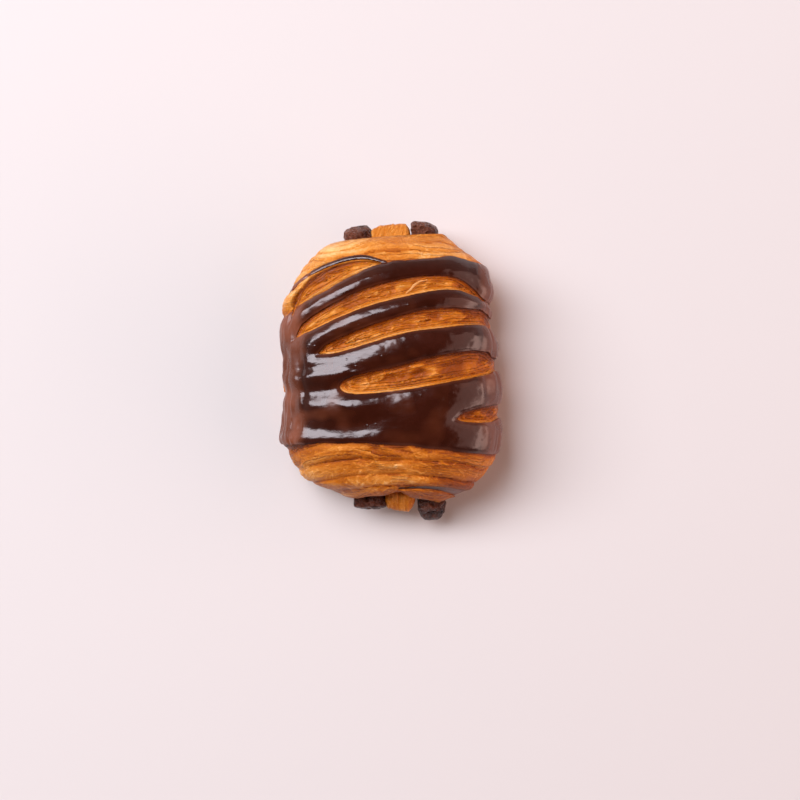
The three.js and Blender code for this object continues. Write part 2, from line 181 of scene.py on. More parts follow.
def section_point(y, angle):
    """A point of the plain section at y, and its outward direction: x, z, nx, nz, top."""
    top = section_value(TOP, y)
    lift = section_value(LIFT, y)
    c, s = np.cos(angle), np.sin(angle)
    reach = np.where(c < 0, section_value(LEFT, y), section_value(RIGHT, y))
    middle = lift + FLANK_LEVEL * (top - lift)
    rise = np.where(s > 0, top - middle, middle - lift + BASE_SPREAD)
    roundness = np.where(s > 0, TOP_ROUNDNESS, BASE_ROUNDNESS)
    x = reach * np.sign(c) * np.abs(c) ** (2 / roundness)
    z = middle + rise * np.sign(s) * np.abs(s) ** (2 / roundness)
    nx = np.sign(c) * np.abs(x / reach) ** (roundness - 1) / reach
    nz = np.sign(s) * np.abs((z - middle) / rise) ** (roundness - 1) / rise
    size = np.hypot(nx, nz) + 1e-12
    return x, z, nx / size, nz / size, top


def across_of(x, z, top):
    """The distance over the surface across the roll: x on the top, and x plus the drop down a flank."""
    shoulder = np.minimum(SHOULDER_HEIGHT, top - 6)
    return np.sign(x) * (np.abs(x) + np.maximum(0, shoulder - z))


def surface_at(across, y):
    """The angle in the section at y at which the surface is at a distance across the roll."""
    right = np.full_like(across, -0.6)
    left = np.full_like(across, math.pi + 0.6)
    for _ in range(26):
        angle = (right + left) / 2
        x, z, _, _, top = section_point(y, angle)
        beyond = across_of(x, z, top) > across
        right = np.where(beyond, angle, right)
        left = np.where(beyond, left, angle)
    return (right + left) / 2


def fold_shift(x, fold):
    """How far along the roll a fold line bends away from its place on the middle line."""
    right_bend = lerp(3.4, 0.2, (fold - NEAR_END) / (FAR_END - NEAR_END))
    bend = np.where(x < 0, 3.2, right_bend) * (x / 30) ** 2
    slant = np.sign(fold) * 0.07 * x * smooth(36, 46, np.abs(fold))
    notch = (1.9 * hump(x - 1.6, 3.2) + 2.4 * smooth(18.5, 22, x)) * smooth(-39.6, NEAR_END, fold)
    notch -= hump(x + 14, 4.5) * smooth(-39.6, NEAR_END, fold)
    corner = 2.6 * smooth(16, 21, x) * smooth(39.4, FAR_END, fold)
    return slant - bend + notch - corner


def swell(x, y, z):
    """Slow swells that keep the hand-rolled dough uneven."""
    slow = 0.45 * np.sin(0.11 * x + 0.07 * y + 1.3) * np.cos(0.09 * y - 0.05 * z + 0.4)
    return slow + 0.25 * np.sin(0.24 * x - 0.19 * y + 0.21 * z + 2.1)


# Strokes: slashes and lines of glaze

def smooth_stroke(points, steps=6):
    """A centripetal curve through a stroke's points, with a few places between every two."""
    p = np.array(points, float)
    p = np.vstack([2 * p[0] - p[1], p, 2 * p[-1] - p[-2]])
    knots = np.concatenate([[0], np.cumsum(np.linalg.norm(np.diff(p, axis=0), axis=1) ** 0.5)])
    curve = []
    for i in range(1, len(p) - 2):
        k0, k1, k2, k3 = knots[i - 1:i + 3]
        for k in np.linspace(k1, k2, steps, endpoint=False):
            a = lerp(p[i - 1], p[i], (k - k0) / (k1 - k0))
            b = lerp(p[i], p[i + 1], (k - k1) / (k2 - k1))
            c = lerp(p[i + 1], p[i + 2], (k - k2) / (k3 - k2))
            early = lerp(a, b, (k - k0) / (k2 - k0))
            late = lerp(b, c, (k - k1) / (k3 - k1))
            curve.append(lerp(early, late, (k - k1) / (k2 - k1)))
    curve.append(p[-2])
    return np.maximum(curve, (-np.inf, -np.inf, 0.1))  # it overshoots where a stroke is pointed


def deeper(new, best):
    """The new values where the first of them is the larger, and the best so far elsewhere."""
    better = new[0] > best[0]
    return [np.where(better, n, b) for n, b in zip(new, best)]


def inside_stroke(curve, across, along):
    """How far inside a stroke a place lies, its distance along, its side offset and the half-width there."""
    best = [np.full(across.shape, value) for value in (-1e9, 0.0, 0.0, 1.0)]
    travelled = 0.0
    for (ax, ay, aw), (bx, by, bw) in zip(curve[:-1], curve[1:]):
        dx, dy = bx - ax, by - ay
        length = math.hypot(dx, dy)
        t = clamp01(((across - ax) * dx + (along - ay) * dy) / length ** 2)
        away = np.hypot(across - ax - t * dx, along - ay - t * dy)
        width = aw + t * (bw - aw)
        side = ((along - ay) * dx - (across - ax) * dy) / length
        best = deeper((width - away, travelled + t * length, side, width), best)
        travelled += length
    return best


SLASH_CURVES = [smooth_stroke(slash) for slash in SLASHES]
FIRST_CURVE = smooth_stroke(FIRST_LINE)
LAST_CURVE = smooth_stroke(LAST_LINE)
COAT_TOP_CURVE = smooth_stroke([(x, y, 1) for x, y in COAT_TOP_EDGE])
COAT_LOW_CURVE = smooth_stroke([(x, y, 1) for x, y in COAT_LOW_EDGE])


def inside_slash(across, along):
    """The same four values for whichever slash a place lies deepest in, and which slash it is."""
    best = (*inside_stroke(SLASH_CURVES[0], across, along), 0.0)
    for number, curve in enumerate(SLASH_CURVES[1:], start=1):
        best = deeper((*inside_stroke(curve, across, along), float(number)), best)
    return best


def inside_coat(x, y, z, across):
    """How far inside the outer edges of the coat of glaze a place of the surface lies."""
    wander = 0.35 * noise(x * 0.16, y * 0.16, 3.0, 11) + 0.15 * noise(x * 0.5, y * 0.5, 5.0, 12)
    from_top = (np.interp(x, *COAT_TOP_CURVE[:, :2].T) - y) * 0.85
    from_low = y - np.interp(x, *COAT_LOW_CURVE[:, :2].T)
    coat = np.minimum(from_top, from_low) + wander
    line, _, _, half_width = inside_stroke(FIRST_CURVE, x, y)
    coat = np.maximum(coat, 1.4 * line * (2 - line / half_width) + 0.5 * wander)
    drips = np.sin(0.33 * y + 0.6) + 0.6 * np.sin(0.71 * y + 2)
    left_drips = 0.8 * drips - 4.5 * hump(y + 9, 7)
    run_end = np.where(across < 0, LEFT_RUN_END - left_drips, RIGHT_RUN_END - 1.5 * drips)
    return smooth_min(coat, z - run_end, 2.5)


# The baked surface

def fold_place(fold):
    """Which fold a place along the roll is in, how far out through it, and its width."""
    i = np.clip(np.searchsorted(FOLDS, fold, side="right") - 1, 0, len(FOLDS) - 2)
    width = FOLDS[i + 1] - FOLDS[i]
    t = clamp01((fold - FOLDS[i]) / width)
    return i, np.where(fold < 0, 1 - t, t), width


def shingle(out, width, crevice):
    """A layer that swells towards its outer edge, as a share of its height, and the next one's crevice."""
    swelling = 1 - (1.25 * (out - 0.6)) ** 2 - 0.55
    drop = smooth(0.0, 0.5, (1 - out) * width)
    return swelling * drop - 0.25 * (1 - drop), -crevice * np.exp(-out * width / 0.55)


def glaze_waves(x, y):
    """The folds of dough that still show through the coat as long shallow waves."""
    drift = 1.2 * noise(x * 0.06, y * 0.06, 1.0, 21)
    phase = np.interp(y + drift, COAT_WAVE_CRESTS, np.arange(len(COAT_WAVE_CRESTS)))
    size = COAT_WAVE_HEIGHT * (1 + 0.7 * hump(y + 22.5, 5.0))
    waves = size * np.cos(2 * math.pi * phase) * smooth(3, -2, y) * smooth(4, -14, x)
    warp = 2.0 * noise(x * 0.1, y * 0.12, 3.0, 24)
    dimples = 0.08 * noise(x * 0.15 + 0.3 * warp, y * 0.2, 2.0, 25)
    return waves + dimples + 0.05 * noise(x * 0.34, y * 0.42 + 0.4 * warp, 2.0, 26)


def arch(t):
    """Rises from 0 to 1 as an arch does, steepest at its foot."""
    return 1 - (1 - clamp01(t)) ** 2


SHEET_PITCH = 1.3  # between the sheets' edges
SLASH_LAYERS = (0.8, 1.6, 2.5, 3.5)  # where layers of dough end inside a slash, in from its edge


def ridges(x, y, z, seed):
    """Thin branching ridges, 1 on their crests and 0 between them."""
    return np.maximum(1 - 3.2 * np.abs(noise(x, y, z, seed)), 0) ** 1.3


def slash_floor(inside, run, side, width, which):
    """The height and the colour level inside an opened slash, where torn layers step down from its edge to a
    hollow of thin glossy skin, and the count of layers outwards. The colour holds painted shade on the upper
    wall and painted light on the lower lip and on the raised blisters and curls."""
    v = np.clip(side / np.maximum(width, 0.3), -1, 1)
    steps = inside * lerp(1.2, 0.8, smooth(-0.4, 0.5, v))
    steps += 0.5 * noise(run * 0.11, v * 0.9, which * 7.0, 31)
    steps += 0.12 * noise(run * 0.5, v * 3, which, 38)
    terraces = 0.0
    for number, at in enumerate(SLASH_LAYERS):
        torn = smooth(-0.35, 0.25, noise(run * 0.09, v * 0.7, which * 5.0 + number, 39))
        terraces += smooth(at - 0.4, at + 0.4, steps) * torn / len(SLASH_LAYERS)
    share = smooth(0.0, 1.4, inside) * (0.3 + 0.3 * smooth(0.9, -0.1, v) + 0.4 * terraces)
    depth = share * np.minimum(SLASH_DEPTHS[which.astype(int)], 0.95 * width)

    skin = smooth(0.8, 2.2, inside)
    warp = 1.6 * noise(run * 0.12, side * 0.22, which * 4.0, 35)
    curl = ridges(run * 0.14 + warp, side * 0.42 - 0.6 * warp, which * 6.0, 36)
    blisters = noise(run * 0.22, side * 0.36, which * 5.0, 32)
    blisters += 0.45 * noise(run * 0.5, side * 0.75, which, 33)
    blisters = np.maximum(blisters, -0.25 + 0.3 * blisters)  # they bulge more than they dent
    height = -depth + skin * (0.75 * blisters + 0.8 * curl)

    patches = noise(run * 0.09, side * 0.16, which * 9.0, 49)
    # Lighter on the raised blisters and curls, partly painted light. The upper wall is darker, partly baked
    # darker and partly painted shade; the pale lower lip is partly its cut layers' edges and partly painted
    # light.
    brown = 0.4 + 0.08 * patches - skin * (0.15 * np.clip(blisters, -0.5, 0.8) + 0.2 * curl)
    brown += 0.12 * smooth(-0.1, 0.5, v) + 0.14 * smooth(0.5, 0.95, v)
    brown -= 0.3 * hump(inside - 0.45, 0.65) * smooth(0.2, -0.6, v)
    return height, brown, -np.interp(steps, (-0.1, *SLASH_LAYERS, 4.6), np.arange(len(SLASH_LAYERS) + 2))


def bare_folds(across, fold):
    """The height and the colour level of bare laminated dough, with folds, the sheets' edges and papery
    wrinkles, then its fold and the count of sheets. The colour is painted darker in the crevices and below
    each sheet's edge as shade, and lighter on the crests and raised wrinkles as light."""
    wandered = fold + 0.8 * noise(across * 0.06, fold * 0.1, 1.0, 41)
    wandered += 0.5 * noise(across * 0.17, fold * 0.25, 2.0, 42)
    i, out, width = fold_place(wandered)
    height = np.minimum(FOLD_HEIGHT_SHARE * width, FOLD_HEIGHT_MOST)
    near = smooth(-20, -30, fold)
    depth = (0.45 + 0.25 * near) * (0.55 + 0.9 * noise(across * 0.06, i * 3.7, 3.0, 43))
    layer, crevice = shingle(out, width, np.maximum(depth, 0.08))

    outward = np.where(fold < 0, -1.0, 1.0)
    sheets = outward * wandered / SHEET_PITCH + 1.7 * noise(across * 0.045, wandered * 0.2, 4.0, 44)
    sheet = np.floor(sheets)
    phase = sheets - sheet
    gate = smooth(-0.25, 0.3, noise(across * 0.08, sheet * 1.7, 5.0, 45))
    step = gate * (phase * smooth(1.0, 0.78, phase) - 0.4)

    warp = 1.3 * noise(across * 0.09, wandered * 0.2, 10.0, 52)
    crumple = noise(across * 0.14 + warp, wandered * 0.34 - warp, 11.0, 53)
    lean = wandered * 0.5 - 0.17 * across
    wrinkle = ridges(across * 0.13 + 0.25 * wandered + warp, lean + warp, 17.02, 46)
    fine_lean = wandered * 0.9 + 0.2 * across - warp
    wrinkle += 0.6 * ridges(across * 0.3 - 0.2 * wandered + warp, fine_lean, 19.98, 54)
    rumpled = 1 - 0.6 * near * smooth(0, 14, across)
    wrinkle *= smooth(-0.5, 0.3, noise(across * 0.1, wandered * 0.15, 7.0, 47))
    wrinkle *= (0.5 + 0.5 * near) * rumpled
    total = height * layer + crevice + 0.24 * step + (0.12 + 0.14 * near) * rumpled * crumple + 0.27 * wrinkle
    total += 0.1 * noise(across * 0.6, wandered * 0.9, 8.0, 51)

    # Painted shade in the crevices and on the drop below each sheet's edge; painted light on the swelling
    # layers and the raised crumples and wrinkles.
    in_crevice = np.clip(-crevice / 0.8, 0, 1)
    brown = 0.42 * in_crevice - 0.08 * layer + 0.2 * gate * smooth(0.72, 1.0, phase)
    brown += 0.13 * noise(across * 0.055, wandered * 0.16, 9.0, 48) - 0.08 * crumple - 0.17 * wrinkle
    return total, brown, wandered, sheets


def coat_puff(across, y):
    """How much fuller the coated dough stands on its flanks than its plain section."""
    left = 1.3 * smooth(-12, -21, y) + smooth(3, 9, y) * smooth(36, 24, y)
    right = 1.5 * smooth(20, 27, y)
    return np.where(across < 0, left, right) * smooth(24, 36, np.abs(across))


# These keep the patterns of two slashes, and of different pieces of dough, apart.
SLASH_GRAIN = 60
END_GRAIN = 200
TONGUE_GRAIN = 300
FLAKE_GRAIN = 400


def dough_relief(x, y, z, top, fold, slashed=True):
    """The baked dough's height over its plain section, its colour level with painted shade and light in it,
    its grain, and the counts of sheets outside and inside the slashes with how clearly they show. Without its
    slashes the glaze spans it."""
    across = across_of(x, z, top)
    inside, run, side, width, which = inside_slash(across, y)
    coat = inside_coat(x, y, z, across)
    coated = smooth(-0.5, 0.7, coat)
    spanned = smooth(-2.0, -0.2, coat)
    beside = inside
    inside = inside if slashed else np.full(inside.shape, -10.0)
    opened = smooth(0.0, 0.45, inside)

    folds, fold_brown, wandered, sheets = bare_folds(across, fold)
    left_puff = 1.2 * smooth(-43, -38, fold) + 1.3 * smooth(16, 22, fold) * smooth(34, 26, fold)
    right_puff = 0.3 * smooth(-36, -29, fold) + 0.2 * smooth(34, 40, fold)
    folds += np.where(across < 0, left_puff, right_puff) * smooth(5, 20, np.abs(across))
    puff = coat_puff(across, y)
    strip = glaze_waves(x, y) + STRIP_RISE * arch(-beside / 4.5) * lerp(0.6, 1, arch(coat / 4)) + puff
    surface = lerp(folds, strip, spanned)
    floor, floor_brown, torn_sheets = slash_floor(inside, run, side, width, which)
    floor = floor * lerp(1.0, 0.35, smooth(28, 37, across)) + puff
    surface = lerp(surface, floor, smooth(-0.45, 1.0, inside))
    surface = lerp(surface, -LAST_LINE_GROOVE, smooth(-0.8, 0.3, inside_stroke(LAST_CURVE, x, y)[0]))
    height = smooth(3, 9, z) * (surface + (1 - 0.6 * spanned) * swell(x, y, z))

    zone = 0.36 - 0.15 * smooth(20, 40, y) + 0.1 * smooth(-24, -29, y) + 0.04 * smooth(5, 30, x)
    zone += 0.07 * smooth(-3.5, -0.5, coat) * smooth(0, -20, y) * smooth(-25, -5, x)
    # A dark line just below the coat's near edge: partly toasted dough, partly a painted shadow of the
    # glaze's edge.
    zone += 0.2 * smooth(-1.5, -0.2, coat) * smooth(0, -20, y)
    # Lighter on the left of the near end, the side the light comes from: painted light.
    zone -= (0.04 + 0.16 * smooth(-8, -30, x)) * smooth(-26, -31, y)
    zone -= 0.08 * smooth(-8, -26, x) * smooth(14, 26, y)
    zone += 0.06 * hump(y + 28.5, 2.0) - 0.08 * hump(y + 35.5, 3.0)
    zone += 0.12 * smooth(-40.6, -42.2, y) * smooth(2, 8, x)
    outside_brown = lerp(zone + fold_brown, 0.85, coated)
    brown = lerp(outside_brown, floor_brown + 0.12 * smooth(5, 28, across), opened)
    # The base is painted lighter on the left, as light.
    base_brown = 0.33 - 0.1 * smooth(0, -25, x) + 0.1 * noise(x * 0.1, y * 0.1, 4.0, 50)
    brown = lerp(base_brown, brown, smooth(1, 8, z))
    torn_grain = side + SLASH_GRAIN * which
    grain = np.stack([lerp(across, run, opened), lerp(wandered, torn_grain, opened), opened], axis=-1)
    shown = smooth(-0.15, 0.3, noise(across * 0.07, lerp(wandered, side, opened) * 0.35, 6.0 + which, 45))
    shown = lerp(shown, 1.2 + 0.8 * shown, opened)
    return height, clamp01(brown), grain, np.stack([sheets, torn_sheets, shown], axis=-1)


# The middles of the sticks, as (x, z), on the far and the near end.
STICK_ENDS = {1: ((-12.1, 14.4), (10.5, 14.6)), -1: ((-8.1, 13.6), (13.3, 13.2))}
RING_PITCH = 2.1  # between the rings of dough round them


def rolled_end(x, z, shrink, end):
    """The rings of dough round the two sticks on an end face: their height, phase and count."""
    near = np.full(x.shape, 1e9)
    turn = np.zeros(x.shape)
    for stick_x, stick_z in STICK_ENDS[end]:
        away = np.hypot((x - stick_x) / 1.25, z - stick_z)
        closer = away < near
        near = np.where(closer, away, near)
        turn = np.where(closer, np.arctan2(z - stick_z, x - stick_x), turn)
    rings = near / RING_PITCH - end * turn / (2 * math.pi) + 0.35 * noise(x * 0.15, z * 0.15, end * 2.0, 61)
    phase = rings - np.floor(rings)
    ridge = 0.75 * phase ** 0.6 * smooth(1.0, 0.86, phase) - 0.3
    fine = 0.14 * noise(x * 0.35, z * 0.35, 7.0, 62)
    return smooth(1.0, 0.8, shrink) * (ridge + fine), phase, rings


def baked_point(fold, shrink, angle):
    """Points of the dough's surface, with their colour level, grain and sheets. On an end face shrink falls
    from 1 to 0."""
    y = fold + fold_shift(section_point(fold, angle)[0], fold)
    x, z, nx, nz, top = section_point(y, angle)
    height, brown, grain, sheets = dough_relief(x, y, z, top, fold)
    x += nx * height
    z = np.maximum(z + nz * height, 0)
    end = np.sign(fold)
    face_x = x * shrink
    face_z = lerp(END_CENTRE_Z, z, shrink)
    out = END_BULGE * (1 - shrink ** 2) - END_RECESS * smooth(1.0, 0.93, shrink)
    for side in (1, -1):
        ridge, phase, rings = rolled_end(face_x, face_z, shrink, side)
        on_face = (end == side) & (shrink < 1)
        out = np.where(on_face, out + ridge, out)
        # The rings are painted darker in the crevices between them as shade, and lighter up each ring as
        # light.
        face_brown = 0.38 + 0.35 * hump(phase - 0.02, 0.16) + 0.35 * hump(phase - 1.0, 0.16) - 0.08 * phase
        brown = np.where(on_face, lerp(face_brown, brown, smooth(0.86, 1.0, shrink)), brown)
        grain[..., 0] = np.where(on_face, face_x * 1.3 + face_z, grain[..., 0])
        grain[..., 1] = np.where(on_face, rings * RING_PITCH + END_GRAIN, grain[..., 1])
    face_y = lerp(fold, y, shrink) + end * out
    sheets[..., 2] *= shrink == 1
    return np.stack([face_x, np.where(shrink < 1, face_y, y), face_z], axis=-1), clamp01(brown), grain, sheets


# Meshes

def add_object(name, data):
    made = bpy.data.objects.new(name, data)
    bpy.context.scene.collection.objects.link(made)
    return made


def mesh_object(name, bm):
    mesh = bpy.data.meshes.new(name)
    bm.to_mesh(mesh)
    bm.free()
    return add_object(name, mesh)


def finish_mesh(name, bm):
    """Turn a bmesh in millimetres into a smooth object in metres that rides on the part's body."""
    bmesh.ops.scale(bm, vec=(MM, MM, MM), verts=bm.verts)
    piece = mesh_object(name, bm)
    piece.data.polygons.foreach_set("use_smooth", [True] * len(piece.data.polygons))
    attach(piece, "root")
    return piece


def places(bm):
    return np.array([v.co[:] for v in bm.verts])


def move_to(bm, points):
    for vert, point in zip(bm.verts, points.tolist()):
        vert.co = point


def start_ball(columns, rows):
    """A ball to shape, with its places, and the row, from its top, and the turn of each."""
    bm = bmesh.new()
    bmesh.ops.create_uvsphere(bm, u_segments=columns, v_segments=rows, radius=1)
    ball = places(bm)
    row = np.rint(np.arccos(np.clip(ball[:, 2], -1, 1)) / math.pi * rows).astype(int)
    return bm, ball, row, np.arctan2(-ball[:, 1], ball[:, 0])


def face_outwards(bm):
    """Turn a closed piece's faces outwards."""
    bmesh.ops.recalc_face_normals(bm, faces=bm.faces)
    if bm.calc_volume(signed=True) < 0:
        bmesh.ops.reverse_faces(bm, faces=bm.faces)


def add_values(piece, **values):
    """Store numbers or vectors, one for each vertex, for the material to read."""
    for name, value in values.items():
        kind, key = ("FLOAT", "value") if value.ndim == 1 else ("FLOAT_VECTOR", "vector")
        attribute = piece.data.attributes.new(name, kind, "POINT")
        attribute.data.foreach_set(key, np.ascontiguousarray(value, dtype=np.float32).ravel())


DOUGH_STEP = 0.43  # between rows along the roll
CAP_ROWS = 26
DOUGH_COLUMNS = 316
BASE_COLUMN_SHARE = 0.28  # how closely the columns lie under the base, set against the top


def column_angles(columns):
    """Section angles for evenly spaced columns, closer together on top than under the base."""
    dense = np.linspace(-math.pi / 2, 1.5 * math.pi, 4001)
    x, z = section_point(np.zeros_like(dense), dense)[:2]
    steps = np.hypot(np.diff(x), np.diff(z)) * np.where(z[1:] < 9, BASE_COLUMN_SHARE, 1.0)
    travelled = np.concatenate([[0], np.cumsum(steps)])
    return np.interp(np.arange(columns) / columns * travelled[-1], travelled, dense)


def make_dough():
    body_rows = int((FAR_END - NEAR_END) / DOUGH_STEP)
    folds = np.pad(np.linspace(FAR_END, NEAR_END, body_rows), CAP_ROWS, mode="edge")
    rim = 1 - (1 - np.arange(CAP_ROWS) / CAP_ROWS) ** 1.15
    shrinks = np.concatenate([rim, np.ones(body_rows), rim[::-1]])
    bm, _, row, turn = start_ball(DOUGH_COLUMNS, len(folds) - 1)
    column = np.rint((turn + math.pi / 2) / (2 * math.pi) * DOUGH_COLUMNS).astype(int) % DOUGH_COLUMNS
    angle = column_angles(DOUGH_COLUMNS)[column]
    points, brown, grain, sheets = baked_point(folds[row], shrinks[row], angle)
    move_to(bm, points)
    bmesh.ops.triangulate(bm, faces=bm.faces, quad_method="SHORT_EDGE")
    piece = finish_mesh("baked_dough", bm)
    # Its colour level holds the baked colour together with painted shade in the hollows and painted light on
    # the crests.
    add_values(piece, browning=brown, grain=grain, sheets=sheets)
    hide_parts("dough")
    return piece


DRAPE_PITCH = 3.3  # between the streaks on the left flank
SUNK = 0.2  # how far glaze reaches into the dough
SLIVER_SHARE = 0.2  # faces of the sheet smaller than this share of a whole one are left out


def glaze_surface(across, y, depth_of, height):
    """The outer and inner points of a layer of glaze, and how deep inside its edge they lie."""
    x, z, nx, nz, top = section_point(y, surface_at(across, y))
    depth = depth_of(x, y, z, across)
    fold = y
    for _ in range(4):
        fold = y - fold_shift(x, fold)
    relief = dough_relief(x, y, z, top, fold, slashed=False)[0]
    over = height * lerp(GLAZE_EDGE_SHARE, 1, arch(depth / GLAZE_EDGE_REACH))
    ripple = 0.035 * noise(x * 0.45, y * 0.7, z * 0.4, 71) + 0.02 * noise(x, y * 1.4, z, 72)
    runs = noise(across * 0.3 + 0.05 * y, y * 0.07, 1.0, 75) + 0.5 * noise(across * 0.75, y * 0.16, 1.0, 76)
    ripple += np.where(across < 0, 0.5, 0.3) * runs * smooth(26, 33, np.abs(across))
    drape = np.sin(2 * math.pi * (across + 1.6 * noise(y * 0.06, 1.0, 1.0, 79)) / DRAPE_PITCH)
    drape *= 0.6 + noise(y * 0.1, across * 0.1, 1.0, 80)
    ripple += 0.13 * drape * smooth(-25, -29, across) * smooth(-50, -44, across)
    lift = relief + over + ripple
    outer = np.stack([x + nx * lift, y, z + nz * lift], axis=-1)
    wall = (height + SUNK) * np.stack([nx, np.zeros_like(nx), nz], axis=-1)
    return outer, outer - wall, depth


def make_glaze(name, node, across_range, y_range, step, depth_of, height, thin_from):
    """A sheet laid over the dough, cut off along the layer's edge and given its thickness. It ran thin
    where it is farther across the roll than thin_from."""
    columns, rows = (int((high - low) / step) for low, high in (across_range, y_range))
    bm = bmesh.new()
    bmesh.ops.create_grid(bm, x_segments=columns, y_segments=rows, size=1)
    flat = places(bm)
    across = lerp(*across_range, (flat[:, 0] + 1) / 2)
    y = lerp(*y_range, (flat[:, 1] + 1) / 2)

    def depth_at(a, b):
        x, z = section_point(b, surface_at(a, b))[:2]
        return depth_of(x, b, z, a)

    depth = depth_at(across, y)

    def move_to_edge(chosen):
        """Move some places of the sheet onto the layer's edge."""
        probe = 0.05
        for _ in range(3):
            a, b = across[chosen], y[chosen]
            slope_a = (depth_at(a + probe, b) - depth_at(a - probe, b)) / (2 * probe)
            slope_b = (depth_at(a, b + probe) - depth_at(a, b - probe)) / (2 * probe)
            steep = np.maximum(slope_a ** 2 + slope_b ** 2, 0.3)
            across[chosen] = a - depth[chosen] * slope_a / steep
            y[chosen] = b - depth[chosen] * slope_b / steep
            depth[chosen] = depth_at(across[chosen], y[chosen])

    move_to_edge(np.flatnonzero(np.abs(depth) < 0.62 * step))
    place = bm.verts.layers.int.new("place")
    for vert in bm.verts:
        vert[place] = vert.index
    kept = depth > -0.03
    for face in list(bm.faces):
        inside = [vert for vert in face.verts if kept[vert.index]]
        if len(inside) == 4:
            continue
        if len(inside) == 3:
            bm.faces.new(inside)
        bm.faces.remove(face)
    loose = [vert for vert in bm.verts if not vert.link_faces]
    bmesh.ops.delete(bm, geom=loose, context="VERTS")
    rim = [vert[place] for vert in bm.verts if vert.is_boundary and depth[vert[place]] > 0.02]
    move_to_edge(np.array(rim))
    slivers = []
    for face in bm.faces:
        a, b = np.array([(across[vert[place]], y[vert[place]]) for vert in face.verts]).T
        if abs(np.dot(a, np.roll(b, -1)) - np.dot(b, np.roll(a, -1))) / 2 < SLIVER_SHARE * step ** 2:
            slivers.append(face)
    bmesh.ops.delete(bm, geom=slivers, context="FACES")

    used = np.array([vert[place] for vert in bm.verts])
    across, y = across[used], y[used]
    outer, inner, depth = glaze_surface(across, y, depth_of, height)
    for number, vert in enumerate(bm.verts):
        vert.co = outer[number]
        vert[place] = number
    for edge in bm.edges:
        edge.smooth = not edge.is_boundary
    raised = bmesh.ops.extrude_face_region(bm, geom=bm.faces[:], use_keep_orig=True)["geom"]
    top_verts = {item for item in raised if isinstance(item, bmesh.types.BMVert)}
    for vert in bm.verts:
        if vert not in top_verts:
            vert.co = inner[vert[place]]
    face_outwards(bm)
    bend = noise(across * 0.08, y * 0.1, 2.0, 77)
    cloud = noise(across * 0.09 + bend, y * 0.13 - bend, 1.0, 73)
    cloud += 0.4 * noise(across * 0.3, y * 0.35, 1.0, 78)
    thin = smooth(thin_from, thin_from + 6, np.abs(across)) * np.where(across < 0, 0.85, 0.62)
    thin += 0.2 * smooth(0.9, 0.2, depth)
    thin += (0.16 + 0.16 * smooth(-5, -28, across)) * cloud
    thin = clamp01(thin)[[vert[place] for vert in bm.verts]]
    bm.verts.layers.int.remove(place)
    piece = finish_mesh(name, bm)
    add_values(piece, thinness=thin)
    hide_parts(node)
    return piece


def coat_depth(x, y, z, across):
    edge = GLAZE_OVERHANG - inside_slash(across, y)[0] + 0.12 * noise(across * 0.4, y * 0.4, 1.0, 74)
    return np.minimum(inside_coat(x, y, z, across), edge)


def last_line_depth(x, y, z, across):
    return smooth_min(inside_stroke(LAST_CURVE, x, y)[0], (z - LAST_LINE_END) / 2, 1.6)


def even_places(points, count):
    """Places spread evenly along a curve that is given by close points."""
    travelled = np.concatenate([[0], np.cumsum(np.linalg.norm(np.diff(points, axis=0), axis=1))])
    at = np.linspace(0, travelled[-1], count)
    return np.stack([np.interp(at, travelled, column) for column in points.T], axis=-1)


# Chocolate sticks: the middle of each end, the section's width and height, and its twist in degrees.
# Each broken end has its outline, as (x, how far it falls short), and how much its top leans back. The far
# end is chipped on from the first place of chip, and wholly from the second. The near end has a hollow.
STICKS = {
    "chocolate_stick_left": dict(
        near=(-8.1, -48.5, 13.6), far=(-11.8, 50.0, 14.4), width=11.4, height=7.0, twist=-12,
        chip=(-12.0, -13.8), hollow=0.0,
        near_end=((-13.4, 0.2), (-11, 0), (-5, 0.1), (-2.6, 0.3)), near_lean=0.12,
        far_end=((-17.6, 1.6), (-15, 0.1), (-9.2, -0.2), (-8.2, 0.8), (-6.2, 4.2)), far_lean=0.35),
    "chocolate_stick_right": dict(
        near=(13.3, -51.4, 13.2), far=(10.5, 51.9, 14.6), width=9.8, height=7.4, twist=9,
        chip=(12.0, 10.0), hollow=1.6,
        near_end=((8.4, 2.6), (9.4, 1.1), (11.1, 0), (15.4, 0.2), (17.6, 2.0), (18.6, 4.4)), near_lean=0.62,
        far_end=((5.6, 0.9), (6.9, -0.1), (10.2, 0.1), (14.3, 1.5), (15.5, 2.6)), far_lean=0.22),
}
STICK_COLUMNS = 96
STICK_END_ROWS = 46
STICK_END_LENGTH = 9.0  # the stretch at each end that is modelled finely
STICK_CORNER_POWER = 5.0
STICK_RIM = 1.3  # how far the rounding of a broken end reaches along the stick


def stick_rows(half_width):
    """Rows from an end's middle over its rim and along the stick: the spread and the way along."""
    t = np.linspace(0, math.pi / 2, 300)
    spread = np.sin(t) ** (2 / 3)
    along = STICK_RIM * (1 - np.cos(t) ** (2 / 3))
    curve = np.stack([spread * half_width, along], axis=-1)
    curve = np.vstack([curve, [half_width, STICK_END_LENGTH]])
    return even_places(curve, STICK_END_ROWS) / (half_width, 1)


